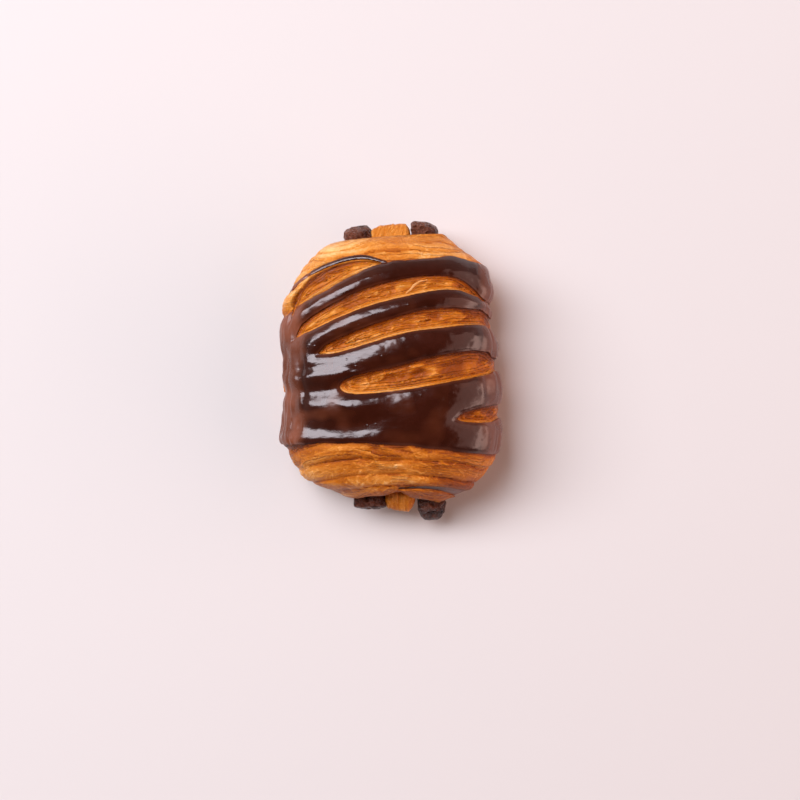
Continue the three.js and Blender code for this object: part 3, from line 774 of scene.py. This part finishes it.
def make_stick(node, near, far, width, height, twist, chip, hollow, near_end, near_lean, far_end, far_lean):
    """A baked bar of chocolate: a rounded bar whose broken ends are pitted and uneven."""
    near, far = np.array([near, far])
    end_rows = stick_rows(width / 2)
    length = far[1] - near[1]
    middle = np.linspace(STICK_END_LENGTH, length - STICK_END_LENGTH, 8)[1:-1]
    spreads = np.concatenate([end_rows[:, 0], np.ones(len(middle)), end_rows[::-1, 0]])
    from_far = np.concatenate([end_rows[:, 1], middle, length - end_rows[::-1, 1]])
    bm, _, row, turn = start_ball(STICK_COLUMNS, len(spreads) - 1)
    spread = spreads[row]
    t = 1 - from_far[row] / length
    c, s = np.cos(turn), np.sin(turn)
    squared = (np.abs(c) ** STICK_CORNER_POWER + np.abs(s) ** STICK_CORNER_POWER) ** (-1 / STICK_CORNER_POWER)
    u = c * squared * spread * width / 2
    v = s * squared * spread * height / 2
    angle = np.radians(twist * (t - 0.5))
    centre = near + (far - near) * t[:, None]
    x = centre[:, 0] - u * np.cos(angle) - v * np.sin(angle)
    z = centre[:, 2] - u * np.sin(angle) + v * np.cos(angle)
    at_far = t > 0.5
    from_end = np.minimum(from_far[row], length - from_far[row])
    lean = np.where(at_far, far_lean, near_lean)
    short = np.where(at_far, np.interp(x, *zip(*far_end)), np.interp(x, *zip(*near_end)))
    short += lean * (z - centre[:, 2] + 1.0)
    y = centre[:, 1] - np.where(at_far, 1, -1) * short * smooth(7.0, 1.0, from_end)

    place = np.array([x, y, z])
    lumps = noise(*place * 0.35, 84) + 0.5 * noise(*place * 0.8, 85)
    pits = noise(*place * 0.95, 83) + noise(*place * 1.9, 84) / 2
    pits = np.maximum(pits - 0.12, 0)
    chipped = np.where(at_far, smooth(*chip, x), 0.3)
    rough = (0.4 + 0.25 * chipped) * lumps - (0.5 + 0.8 * chipped) * pits - 0.5 * chipped
    rough *= smooth(9.0, 5.0, from_end)
    face = (1 - spread) ** 0.5
    hollow = np.where(at_far, 0.0, hollow) * hump(x - 13.6, 2.6) * hump(z - 13.6, 1.5)
    x -= c * spread * rough
    z += s * spread * rough
    y += np.where(at_far, 1, -1) * (face * rough - hollow * smooth(0.95, 0.6, spread))
    move_to(bm, np.stack([x, y, z], axis=-1))
    face_outwards(bm)
    piece = finish_mesh(node + "_baked", bm)
    # The near ends and the pits are painted darker as shade; the far ends are lighter, partly bloom and
    # partly painted light; chipped faces are lighter.
    add_values(piece, bloom=clamp01(np.where(at_far, 0.5, 0.1) + 0.5 * chipped - 0.5 * pits))
    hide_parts(node)
    return piece


# The dough between the sticks at each end: its outer edge is given as (x, y).
TONGUES = {
    "dough_tongue_far": dict(
        end=1, left=(-7.7, -8.1), right=(6.0, 5.8), low=8, high=19.2, root=42.0,
        edge=((-8.2, 49.2), (-5, 50.2), (-1.6, 50.6), (4.2, 51.0), (5.9, 49.9)), fan=0.5),
    "dough_tongue_near": dict(
        end=-1, left=(-2.6, -3.2), right=(8.6, 7.0), low=8, high=19.4, root=39.0,
        edge=((-3.3, 47.9), (0.1, 48.5), (2.7, 48.8), (5.2, 49.3), (7.1, 48.2)), fan=0.1),
}
TONGUE_COLUMNS = 150
TONGUE_ROWS = 110
TONGUE_CORNER_POWER = 4.5


def make_tongue(name, end, left, right, low, high, root, edge, fan):
    """A block of dough that is pinched between the sticks and split into fibres."""
    bm, ball, _, _ = start_ball(TONGUE_COLUMNS, TONGUE_ROWS)
    size = (np.abs(ball) ** TONGUE_CORNER_POWER).sum(axis=1) ** (-1 / TONGUE_CORNER_POWER)
    u, w, out = (ball * size[:, None]).T
    forward = (out + 1) / 2
    x = lerp(lerp(left[0], left[1], forward), lerp(right[0], right[1], forward), (u + 1) / 2)
    reach = np.interp(x, *zip(*edge))
    fibre = x * (1 - 0.3 * fan * forward) - fan * 4.0 * forward
    fibre += 0.5 * noise(x * 0.3, forward * 2, w * 0.6, 91)
    strands = noise(fibre * 1.3, forward * 1.1, w * 0.6, 92) + 0.6 * noise(fibre * 2.6, forward * 2.0, w, 93)
    y = lerp(root, reach - 0.5 * np.abs(w) ** 3, forward) + 0.16 * strands * forward
    slope = 2.2 * smooth(0.35, 1.0, forward) * smooth(-0.4, 1.0, w)
    z = (low + high) / 2 + w * (high - low) / 2 - slope + 0.3 * strands * w ** 2 * np.sign(w)
    move_to(bm, np.stack([x, end * y, z], axis=-1))
    face_outwards(bm)
    piece = finish_mesh(name, bm)
    # Darker towards the root, where it meets the end, as painted shade; lighter on the raised strands, partly
    # painted light; the near one a little darker.
    deep = clamp01(0.3 - 0.03 * end - 0.08 * strands + 0.3 * smooth(0.5, 0.2, forward))
    grain = np.stack([forward * 14, fibre * 1.4 + TONGUE_GRAIN, np.full(len(x), 0.3)], axis=-1)
    add_values(piece, browning=deep, grain=grain)
    return piece


# A thin flake of crust that peeled off one slash, as (x, y, height over the slash).
FLAKE = ((4.2, 25.4, 0.7), (5.6, 26.6, 1.4), (7.2, 28.2, 1.7), (8.8, 29.3, 1.5), (11.4, 30.2, 0.8))
FLAKE_WIDTH = 0.7
FLAKE_THICKNESS = 0.14


def make_flake():
    """A curled strip of papery crust that stands on its lower edge."""
    bm = bmesh.new()
    bmesh.ops.create_grid(bm, x_segments=28, y_segments=4, size=1)
    flat = places(bm)
    curve = even_places(smooth_stroke(FLAKE, 10), 200)
    t = (flat[:, 0] + 1) / 2
    x, y, over = (np.interp(t, np.linspace(0, 1, len(curve)), column) for column in curve.T)
    foot_x, foot_z = section_point(y, surface_at(x, y))[:2]
    taper = np.sin(math.pi * clamp01(0.08 + 0.88 * t)) ** 0.6
    v = flat[:, 1] * FLAKE_WIDTH / 2 * taper
    ruffle = 0.18 * noise(t * 9, v, 1.0, 95)
    z = foot_z - 1.5 + over + 0.55 * v + ruffle
    move_to(bm, np.stack([foot_x - 0.55 * v, y + 0.75 * v + ruffle, z], axis=-1))
    piece = finish_mesh("crust_flake", bm)
    wall = piece.modifiers.new("wall", "SOLIDIFY")
    wall.thickness = FLAKE_THICKNESS * MM
    wall.offset = 0
    grain = np.stack([t * 12, v + FLAKE_GRAIN, np.full(len(t), 0.2)], axis=-1)
    add_values(piece, browning=clamp01(0.02 + 0.05 * noise(t * 12, v, 2.0, 96)), grain=grain)
    return piece


# Materials

def colour(code):
    """An sRGB hex colour as linear red, green, blue and alpha."""
    parts = [int(code[i:i + 2], 16) / 255 for i in (1, 3, 5)]
    return [p / 12.92 if p <= 0.04045 else ((p + 0.055) / 1.055) ** 2.4 for p in parts] + [1.0]


def add(tree, kind, inputs=None, stops=None, **settings):
    """Add a shader node with its settings. An input, by name or by number, is a value, another node's
    socket, or another node, which stands for its first socket."""
    made = tree.nodes.new("ShaderNode" + kind)
    for key, value in settings.items():
        setattr(made, key, value)
    for key, value in (inputs or {}).items():
        if isinstance(value, bpy.types.Node):
            value = value.outputs[0]
        if isinstance(value, bpy.types.NodeSocket):
            tree.links.new(value, made.inputs[key])
        else:
            made.inputs[key].default_value = value
    if stops:
        ramp = made.color_ramp
        while len(ramp.elements) < len(stops):
            ramp.elements.new(0.5)
        for element, (position, value) in zip(ramp.elements, stops):
            element.position = position
            element.color = value
    return made


def make_material(build):
    """A material that takes its name and its shader from the function that builds it."""
    material = bpy.data.materials.new(build.__name__)
    material.use_nodes = True
    tree = material.node_tree
    tree.nodes.clear()
    add(tree, "OutputMaterial", {"Surface": build(tree)})
    return material


def sheet_edges(tree, count, wobble):
    """A pale raised line, partly a painted highlight, with a painted shadow line behind it at each whole
    count of sheets, and 0 between.
    """
    place = add(tree, "Math", {0: wobble, 1: 0.9, 2: count}, operation="MULTIPLY_ADD")
    part = add(tree, "Math", {0: place}, operation="FRACT")
    levels = ((0.0, 0.95), (0.12, 0.62), (0.35, 0.5), (0.8, 0.45), (0.95, 0.0), (1.0, 0.5))
    profile = add(tree, "ValToRGB", {"Fac": part}, stops=[(at, (v, v, v, 1.0)) for at, v in levels])
    return add(tree, "Math", {0: profile, 1: 0.5}, operation="SUBTRACT")


def egg_washed_crust(tree):
    """Egg-washed laminated dough, baked: satin, painted gold on the crests as light and deep brown in the
    crevices as shade.
    """
    place = add(tree, "TexCoord").outputs["Object"]
    browning = add(tree, "Attribute", attribute_name="browning").outputs["Fac"]
    grain = add(tree, "Attribute", attribute_name="grain").outputs["Vector"]
    torn = add(tree, "SeparateXYZ", {0: grain}).outputs["Z"]
    # Fibres of the sheets: about 0.9 mm apart and 4 times as long, fainter on the skin inside a slash.
    fibres_at = add(tree, "Mapping", {"Vector": grain, "Scale": (0.27, 1.1, 3.0)})
    fibres = add(tree, "TexNoise", {
        "Vector": fibres_at, "Scale": 1.0, "Detail": 5.0, "Roughness": 0.6, "Distortion": 1.1})
    centred = add(tree, "Math", {0: fibres, 1: 0.5}, operation="SUBTRACT")
    clear = add(tree, "MapRange", {0: torn, 1: 0.0, 2: 1.0, 3: 0.18, 4: 0.06})
    by_fibres = add(tree, "Math", {0: centred, 1: clear, 2: -0.19}, operation="MULTIPLY_ADD")
    # Blisters of the egg-washed skin: about 2 mm across and twice as long, with a fine crease along their
    # middle level.
    skin_at = add(tree, "Mapping", {"Vector": grain, "Scale": (0.28, 0.5, 2.0)})
    skin = add(tree, "TexNoise", {
        "Vector": skin_at, "Scale": 1.0, "Detail": 5.0, "Roughness": 0.62, "Distortion": 1.4})
    from_middle = add(tree, "Math", {0: skin, 1: 0.5}, operation="SUBTRACT")
    crease_lines = add(tree, "Math", {0: from_middle}, operation="ABSOLUTE")
    creased = add(tree, "MapRange", {0: torn, 1: 0.0, 2: 1.0, 3: 1.0, 4: 0.75})
    creases = add(tree, "Math", {0: crease_lines, 1: creased}, operation="MULTIPLY")
    # Thin edges of the sheets: about 1.3 mm apart outside the slashes, and 0.8 to 1 mm inside them.
    sheets = add(tree, "Attribute", attribute_name="sheets").outputs["Vector"]
    counts = add(tree, "SeparateXYZ", {0: sheets}).outputs
    outside, inside = (sheet_edges(tree, counts[axis], skin) for axis in ("X", "Y"))
    edge = add(tree, "Mix", {0: torn, 2: outside, 3: inside}, data_type="FLOAT")
    edge_shown = add(tree, "Math", {0: edge, 1: counts["Z"]}, operation="MULTIPLY")
    # Fine flaking of the top skin: about 0.7 mm.
    flaking = add(tree, "TexNoise", {
        "Vector": place, "Scale": 1400.0, "Detail": 3.0, "Roughness": 0.65})
    # Painted shade darkens the crease lines and the line behind each sheet's edge; the edge itself gets a
    # pale line that is partly a painted highlight.
    level = by_fibres
    for pattern, share in (
            (skin, 0.3), (creases, -0.9), (flaking, 0.2), (edge_shown, -0.38), (browning, 1.0)):
        level = add(tree, "Math", {0: pattern, 1: share, 2: level}, operation="MULTIPLY_ADD")
    tint = add(tree, "ValToRGB", {"Fac": level}, stops=[
        (0.0, colour("#F2BE7A")), (0.18, colour("#DE923A")), (0.36, colour("#C06C10")),
        (0.56, colour("#984905")), (0.76, colour("#662A04")), (1.0, colour("#331206"))])
    dry = add(tree, "MapRange", {0: skin, 1: 0.3, 2: 0.7, 3: 0.32, 4: 0.52})
    satin = add(tree, "Math", {0: torn, 1: -0.14, 2: dry}, operation="MULTIPLY_ADD")
    relief = {}
    for strength, depth, pattern in ((0.8, 0.0005, edge_shown), (1.0, 0.0012, by_fibres),
                                     (0.6, 0.002, creases), (0.4, 0.0003, flaking)):
        relief = {"Normal": add(tree, "Bump", {
            "Strength": strength, "Distance": depth, "Height": pattern, **relief})}
    return add(tree, "BsdfPrincipled", {
        "Base Color": tint, "Roughness": satin, "IOR": 1.45, "Specular IOR Level": 0.25, **relief})


def chocolate_glaze(tree):
    """Set dark chocolate glaze: glossy, browner where it ran thin, with faint ripples and tiny bubbles."""
    place = add(tree, "TexCoord").outputs["Object"]
    thinness = add(tree, "Attribute", attribute_name="thinness").outputs["Fac"]
    # Drag marks: about 2 mm apart and 3 times as long, across the roll.
    drag_at = add(tree, "Mapping", {"Vector": place, "Scale": (160.0, 480.0, 240.0)})
    drag = add(tree, "TexNoise", {"Vector": drag_at, "Scale": 1.0, "Detail": 3.0, "Roughness": 0.5})
    # Slow clouding of the set surface: about 6 mm.
    cloud = add(tree, "TexNoise", {"Vector": place, "Scale": 160.0, "Detail": 4.0, "Roughness": 0.55})
    # Bubbles: about 0.5 mm, one in every few millimetres.
    bubbles = add(tree, "TexVoronoi", {"Vector": place, "Scale": 240.0, "Randomness": 1.0}, feature="F1")
    bubble = add(tree, "MapRange", {0: bubbles.outputs["Distance"], 1: 0.04, 2: 0.1, 3: 1.0, 4: 0.0})
    thick = add(tree, "Mix", {0: cloud, 6: colour("#240B04"), 7: colour("#3C1509")}, data_type="RGBA")
    tint = add(tree, "Mix", {0: thinness, 6: thick.outputs[2], 7: colour("#753B20")}, data_type="RGBA")
    dull = add(tree, "MapRange", {0: cloud, 1: 0.3, 2: 0.7, 3: 0.12, 4: 0.22})
    gloss = add(tree, "Math", {0: thinness, 1: 0.2, 2: dull}, operation="MULTIPLY_ADD")
    marks = add(tree, "Bump", {"Strength": 0.22, "Distance": 0.0005, "Height": drag})
    dots = add(tree, "Bump", {"Strength": 0.3, "Distance": 0.0002, "Height": bubble, "Normal": marks})
    return add(tree, "BsdfPrincipled", {
        "Base Color": tint.outputs[2], "Roughness": gloss, "IOR": 1.5, "Normal": dots})


def baked_stick_chocolate(tree):
    """Bake-stable dark chocolate after the oven: dry and pitted, with a faintly bloomed brown-grey surface,
    painted darker on the near ends and in the pits as shade.
    """
    place = add(tree, "TexCoord").outputs["Object"]
    # Pits of about 1 mm, and bloom in patches of about 3 mm.
    pits = add(tree, "TexNoise", {"Vector": place, "Scale": 950.0, "Detail": 5.0, "Roughness": 0.62})
    bloom = add(tree, "TexNoise", {"Vector": place, "Scale": 330.0, "Detail": 4.0, "Roughness": 0.65})
    # This stored level also carries the painted shade of the near ends and the pits.
    bloomed = add(tree, "Attribute", attribute_name="bloom").outputs["Fac"]
    level = add(tree, "Math", {0: bloomed, 1: 0.34, 2: bloom}, operation="MULTIPLY_ADD")
    tint = add(tree, "ValToRGB", {"Fac": level}, stops=[
        (0.35, colour("#2A0C03")), (0.6, colour("#56240F")), (0.95, colour("#9A5F48"))])
    dry = add(tree, "MapRange", {0: pits, 1: 0.3, 2: 0.7, 3: 0.12, 4: 0.34})
    rough = add(tree, "Bump", {"Strength": 1.0, "Distance": 0.0045, "Height": pits})
    return add(tree, "BsdfPrincipled", {
        "Base Color": tint, "Roughness": dry, "IOR": 1.5, "Specular IOR Level": 0.5, "Normal": rough})


def pale_tabletop(tree):
    """Smooth pale tabletop under the pastry."""
    return add(tree, "BsdfPrincipled", {
        "Base Color": colour("#D1CFCC"), "Roughness": 0.7, "Specular IOR Level": 0.3})


# The pastry

crust = make_material(egg_washed_crust)
glaze_finish = make_material(chocolate_glaze)
stick_finish = make_material(baked_stick_chocolate)

make_dough().data.materials.append(crust)
for tongue_name, tongue in TONGUES.items():
    make_tongue(tongue_name, **tongue).data.materials.append(crust)
for sheet in (
    dict(name="glaze_coat", node="glaze", across_range=(-54, 54), y_range=(-31, 42), step=0.35,
         depth_of=coat_depth, height=GLAZE_HEIGHT, thin_from=27),
    dict(name="glaze_last_line", node="glaze_line", across_range=(0, 42), y_range=(-46, -38), step=0.24,
         depth_of=last_line_depth, height=LAST_LINE_HEIGHT, thin_from=14),
):
    make_glaze(**sheet).data.materials.append(glaze_finish)
make_flake().data.materials.append(crust)
for stick_name, stick in STICKS.items():
    make_stick(stick_name, **stick).data.materials.append(stick_finish)


# The stage: a pale floor, a wide window of soft light up on the left, and two dim cards on the right.

FLOOR_REACH = 2.5


def make_floor():
    bm = bmesh.new()
    bmesh.ops.create_grid(bm, x_segments=1, y_segments=1, size=FLOOR_REACH)
    floor = mesh_object("floor", bm)
    floor.data.materials.append(make_material(pale_tabletop))


def make_light(name, place, target, width, height, radiance, tint):
    """A flat soft light that faces its target and gives the same brightness from every side."""
    light = bpy.data.lights.new(name, "AREA")
    light.shape = "RECTANGLE"
    light.size = width
    light.size_y = height
    light.energy = radiance * math.pi * width * height
    light.color = colour(tint)[:3]
    aim = (Vector(target) - Vector(place)).to_track_quat("-Z", "Y")
    add_object(name, light).matrix_world = Matrix.Translation(place) @ aim.to_matrix().to_4x4()


def make_sky():
    """A dim room: dark overhead and on the near side, and paler towards the rest of the horizon."""
    world = bpy.data.worlds.new("studio")
    world.use_nodes = True
    tree = world.node_tree
    direction = add(tree, "TexCoord").outputs["Generated"]
    split = add(tree, "SeparateXYZ", {0: direction})
    height = add(tree, "MapRange", {0: split.outputs["Z"], 1: 0.15, 2: 0.8, 3: 0.38, 4: 0.045})
    side = add(tree, "MapRange", {0: split.outputs["Y"], 1: -0.7, 2: 0.2, 3: 0.5, 4: 1.0})
    level = add(tree, "Math", {0: height, 1: side}, operation="MULTIPLY")
    background = tree.nodes["Background"]
    background.inputs["Color"].default_value = colour("#FFF4F2")
    tree.links.new(level.outputs[0], background.inputs["Strength"])
    bpy.context.scene.world = world


make_floor()
make_light("window", (-2.04, 0.888, 1.92), (-2.04, 0.888, 0.0), 3.6, 1.32, 11.0, "#FBF6FF")
make_light("card", (1.43, -0.08, 0.93), (0.0, 0.0, 0.0), 2.55, 1.35, 1.25, "#FFC9BC")
make_light("low_card", (1.3, -0.2, 0.28), (0.0, 0.0, 0.0), 1.4, 0.5, 3.5, "#FFD3C6")
make_sky()
bpy.context.scene.view_settings.view_transform = "Standard"


# The camera looks straight down on the middle of the photograph's square frame.
PHOTO_PIXELS = 800
MM_PER_PIXEL = 0.345  # at the height of the pastry's widest line
WIDEST_LINE_Z = 18.0
CAMERA_PLACE = (2.24, -10.35, 650.0)

camera = bpy.data.cameras.new("camera")
camera.sensor_width = 36.0
camera.lens = camera.sensor_width * (CAMERA_PLACE[2] - WIDEST_LINE_Z) / (PHOTO_PIXELS * MM_PER_PIXEL)
camera.clip_start = 0.01
viewer = add_object("camera", camera)
viewer.location = Vector(CAMERA_PLACE) * MM
bpy.context.scene.camera = viewer
